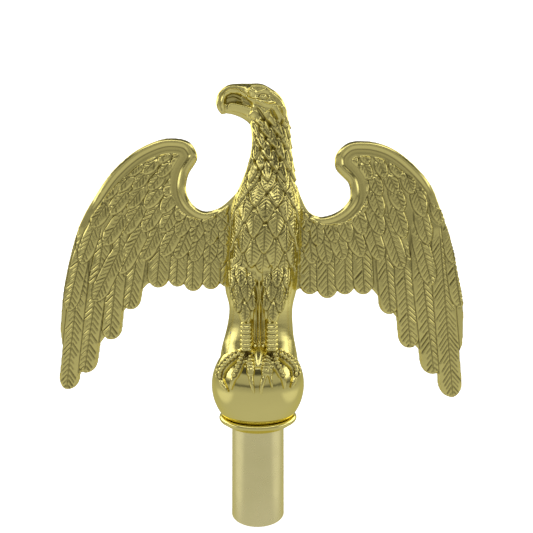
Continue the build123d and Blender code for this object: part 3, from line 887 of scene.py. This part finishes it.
# ---------------------------------------------------------------- materials
class Nodes:
    """Short-hand for building a node tree."""

    def __init__(self, tree):
        self.tree = tree

    def add(self, kind, **values):
        node = self.tree.nodes.new(kind)
        for key, value in values.items():
            if hasattr(node, key):
                setattr(node, key, value)
            else:
                node.inputs[key].default_value = value
        return node

    def link(self, start, end):
        self.tree.links.new(start, end)

    def ramp(self, source, stops, interpolation="LINEAR"):
        ramp = self.add("ShaderNodeValToRGB")
        ramp.color_ramp.interpolation = interpolation
        for element, (position, colour) in zip(ramp.color_ramp.elements, (stops[0], stops[-1])):
            element.position, element.color = position, colour
        for position, colour in stops[1:-1]:
            ramp.color_ramp.elements.new(position).color = colour
        self.link(source, ramp.inputs["Fac"])
        return ramp.outputs["Color"]


class Finish(Nodes):
    """A material: its node tree and its shader."""

    def __init__(self, name):
        self.material = bpy.data.materials.new(name)
        self.material.use_nodes = True
        super().__init__(self.material.node_tree)
        self.shader = self.tree.nodes["Principled BSDF"]

    def noise(self, scale, detail):
        noise = self.add("ShaderNodeTexNoise", Scale=scale, Detail=detail, Roughness=0.55)
        self.link(self.add("ShaderNodeTexCoord").outputs["Object"], noise.inputs["Vector"])
        return noise.outputs["Fac"]

    def uneven(self, socket, scale, detail, low, high):
        """Let a noise vary one of the shader's values between two colours."""
        self.link(self.ramp(self.noise(scale, detail), [(0.3, low), (0.7, high)]), self.shader.inputs[socket])

    def bump(self, scale, detail, strength, distance):
        bump = self.add("ShaderNodeBump", Strength=strength, Distance=distance)
        self.link(self.noise(scale, detail), bump.inputs["Height"])
        self.link(bump.outputs["Normal"], self.shader.inputs["Normal"])


def grey(value):
    return (value, value, value, 1)


EDGE_TINT = (0.95, 0.90, 0.50, 1)


def gold(name, hollow, face, rough, shades_grooves):
    """Polished gold plate, with a slight unevenness of polish; on request its colour darkens to a dark brown
    in the hollows, as painted shade.
    """
    m = Finish(name)
    m.shader.inputs["Metallic"].default_value = 1.0
    m.shader.inputs["Specular Tint"].default_value = EDGE_TINT
    tone = m.noise(26, 4)
    light = m.ramp(tone, [(0.3, tuple(c * 0.93 for c in face) + (1,)), (0.7, face + (1,))])
    # The skin's attribute mixes in the dark brown: painted shade in the grooves.
    if shades_grooves:
        groove_shade = m.add("ShaderNodeAttribute")
        groove_shade.attribute_name = "groove_shade"
        mix = m.add("ShaderNodeMix", data_type="RGBA")
        m.link(groove_shade.outputs["Fac"], mix.inputs["Factor"])
        m.link(light, mix.inputs[6])
        dark = m.ramp(tone, [(0.3, tuple(c * 0.8 for c in hollow) + (1,)), (0.7, hollow + (1,))])
        m.link(dark, mix.inputs[7])
        light = mix.outputs[2]
    m.link(light, m.shader.inputs["Base Color"])
    m.uneven("Roughness", 60, 5, grey(rough * 0.75), grey(rough * 1.35))
    m.bump(220, 4, 0.12, 0.0004)
    return m.material


GOLD_FACE = (0.86, 0.76, 0.27)
# Dark brown, painted into the grooves as shade.
GOLD_GROOVE_SHADE = (0.11, 0.078, 0.014)
gilt_feathers = gold("gilt_feathers", GOLD_GROOVE_SHADE, GOLD_FACE, 0.2, True)
gilt_smooth = gold("gilt_smooth", GOLD_GROOVE_SHADE, GOLD_FACE, 0.09, False)
for piece in halves.values():
    piece.data.materials.append(gilt_feathers)
for node in ("ball", "collar"):
    turned[node].data.materials.append(gilt_smooth)


def satin_brass():
    m = Finish("satin_brass")
    m.shader.inputs["Metallic"].default_value = 1.0
    m.shader.inputs["Specular Tint"].default_value = EDGE_TINT
    m.uneven("Base Color", 40, 4, (0.84, 0.76, 0.37, 1), (0.92, 0.83, 0.43, 1))
    m.uneven("Roughness", 90, 5, grey(0.2), grey(0.32))
    m.bump(500, 3, 0.08, 0.0002)
    return m.material


def zinc():
    m = Finish("zinc_plate")
    m.shader.inputs["Metallic"].default_value = 1.0
    m.uneven("Base Color", 70, 4, (0.5, 0.5, 0.52, 1), (0.66, 0.66, 0.67, 1))
    m.uneven("Roughness", 150, 4, grey(0.28), grey(0.42))
    m.bump(700, 4, 0.2, 0.0003)
    return m.material


def nylon():
    m = Finish("nylon")
    m.uneven("Base Color", 60, 3, (0.76, 0.74, 0.68, 1), (0.84, 0.82, 0.77, 1))
    m.uneven("Roughness", 200, 3, grey(0.45), grey(0.6))
    m.bump(500, 3, 0.2, 0.0003)
    return m.material


brass, steel, plastic = satin_brass(), zinc(), nylon()
turned["ferrule"].data.materials.append(brass)
for node, material in (("ferrule_plug", brass), ("spindle", steel), ("jam_nut", steel), ("anchor_nut", steel),
                       ("locating_pins", steel), ("seat_washer", plastic)):
    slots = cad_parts[node].data.materials
    slots.clear()
    slots.append(material)


# ---------------------------------------------------------------- floor, light and camera
def make_stage():
    """A seamless pale floor that curves up into the backdrop."""
    half_width, front, bend_y, bend_r, top = 2.2, -1.2, 0.9, 0.7, 2.0
    profile = [(front, 0.0), (bend_y, 0.0)]
    profile += [(bend_y + bend_r * math.sin(a), bend_r * (1 - math.cos(a)))
                for a in np.linspace(0, math.pi / 2, 24)[1:]]
    profile.append((bend_y + bend_r, top))
    verts = [(x, y, z) for x in (-half_width, half_width) for y, z in profile]
    n = len(profile)
    mesh = bpy.data.meshes.new("floor")
    mesh.from_pydata(verts, [], [(k, k + 1, n + k + 1, n + k) for k in range(n - 1)])
    mesh.shade_smooth()
    floor = add_object("floor", mesh)
    m = Finish("paper")
    m.uneven("Base Color", 3, 2, grey(0.9), grey(0.94))
    m.shader.inputs["Roughness"].default_value = 0.9
    m.shader.inputs["Specular IOR Level"].default_value = 0.1
    m.shader.inputs["Emission Color"].default_value = (1, 1, 1, 1)
    m.shader.inputs["Emission Strength"].default_value = 0.75
    mesh.materials.append(m.material)
    floor.visible_glossy = False


make_stage()

world = bpy.data.worlds.new("studio")
bpy.context.scene.world = world
world.use_nodes = True
sky = Nodes(world.node_tree)
where = sky.add("ShaderNodeTexCoord").outputs["Generated"]
split = sky.add("ShaderNodeSeparateXYZ")
sky.link(where, split.inputs[0])


def sky_ramp(source, stops):
    """Brightness along a source."""
    return sky.ramp(source, [(position, grey(value)) for position, value in stops], "EASE")


def unit(socket):
    """A direction's part, from -1..1 to 0..1."""
    shift = sky.add("ShaderNodeMath", operation="MULTIPLY_ADD")
    sky.link(socket, shift.inputs[0])
    shift.inputs[1].default_value, shift.inputs[2].default_value = 0.5, 0.5
    return shift.outputs[0]


def elevation(degrees):
    """Place on a ramp over the sky's height, from straight down (0) to straight up (1)."""
    return 0.5 + 0.5 * math.sin(math.radians(degrees))


def toward(direction):
    """How far the sky's direction points along another one, from 0 to 1."""
    dot = sky.add("ShaderNodeVectorMath", operation="DOT_PRODUCT")
    sky.link(where, dot.inputs[0])
    dot.inputs[1].default_value = np.array(direction) / np.linalg.norm(direction)
    return unit(dot.outputs["Value"])


def blend(kind, first, second):
    node = sky.add("ShaderNodeMix", data_type="RGBA", blend_type=kind, Factor=1.0)
    sky.link(first, node.inputs[6])
    sky.link(second, node.inputs[7])
    return node.outputs[2]


across, along, upward = (unit(split.outputs[axis]) for axis in "XYZ")
room = sky_ramp(upward, [
    (0.0, 0.56), (elevation(-14), 0.52), (elevation(0), 0.40), (elevation(4), 0.12), (elevation(11), 0.42),
    (elevation(27), 0.46), (elevation(34), 0.06), (1.0, 0.10)])
ceiling = sky_ramp(upward, [
    (elevation(44), 0.0), (elevation(51), 1.8), (elevation(59), 1.6), (elevation(65), 0.0)])
in_front = sky_ramp(along, [(0.44, 1.0), (0.54, 0.2)])
side_light = sky_ramp(across, [(0.0, 1.8), (0.05, 1.4), (0.10, 0.0), (0.90, 0.0), (0.95, 1.2), (1.0, 1.5)])
side_height = sky_ramp(upward, [
    (elevation(-40), 0.18), (elevation(-18), 0.18), (elevation(-10), 0.0), (elevation(9), 0.0),
    (elevation(17), 1.0)])
light = blend("ADD", room, blend("MULTIPLY", ceiling, in_front))
light = blend("ADD", light, blend("MULTIPLY", side_light, side_height))
# Two round lamps high up behind the object.
for side in (-1, 1):
    light = blend("ADD", light, sky_ramp(toward((0.58 * side, 0.64, 0.50)), [(0.950, 0.0), (0.972, 1.9)]))
# The backdrop itself is plain white, and only the reflections show the room.
plain = sky.add("ShaderNodeMix", data_type="RGBA")
plain.inputs[7].default_value = grey(1)
sky.link(sky.add("ShaderNodeLightPath").outputs["Is Camera Ray"], plain.inputs["Factor"])
sky.link(light, plain.inputs[6])
sky.link(plain.outputs[2], sky.tree.nodes["Background"].inputs["Color"])

CAMERA_AT = (0.00453, -0.2306, 0.12548)
CAMERA_PITCH = 1.19
FIELD_OF_VIEW = 63.59
cam = bpy.data.cameras.new("camera")
cam.sensor_width = 36
cam.lens = cam.sensor_width / 2 / math.tan(math.radians(FIELD_OF_VIEW / 2))
cam.clip_start = 0.01
camera = add_object("camera", cam)
camera.location = CAMERA_AT
camera.rotation_euler = (math.radians(90 + CAMERA_PITCH), 0, 0)
bpy.context.scene.camera = camera
bpy.context.scene.view_settings.view_transform = "Standard"
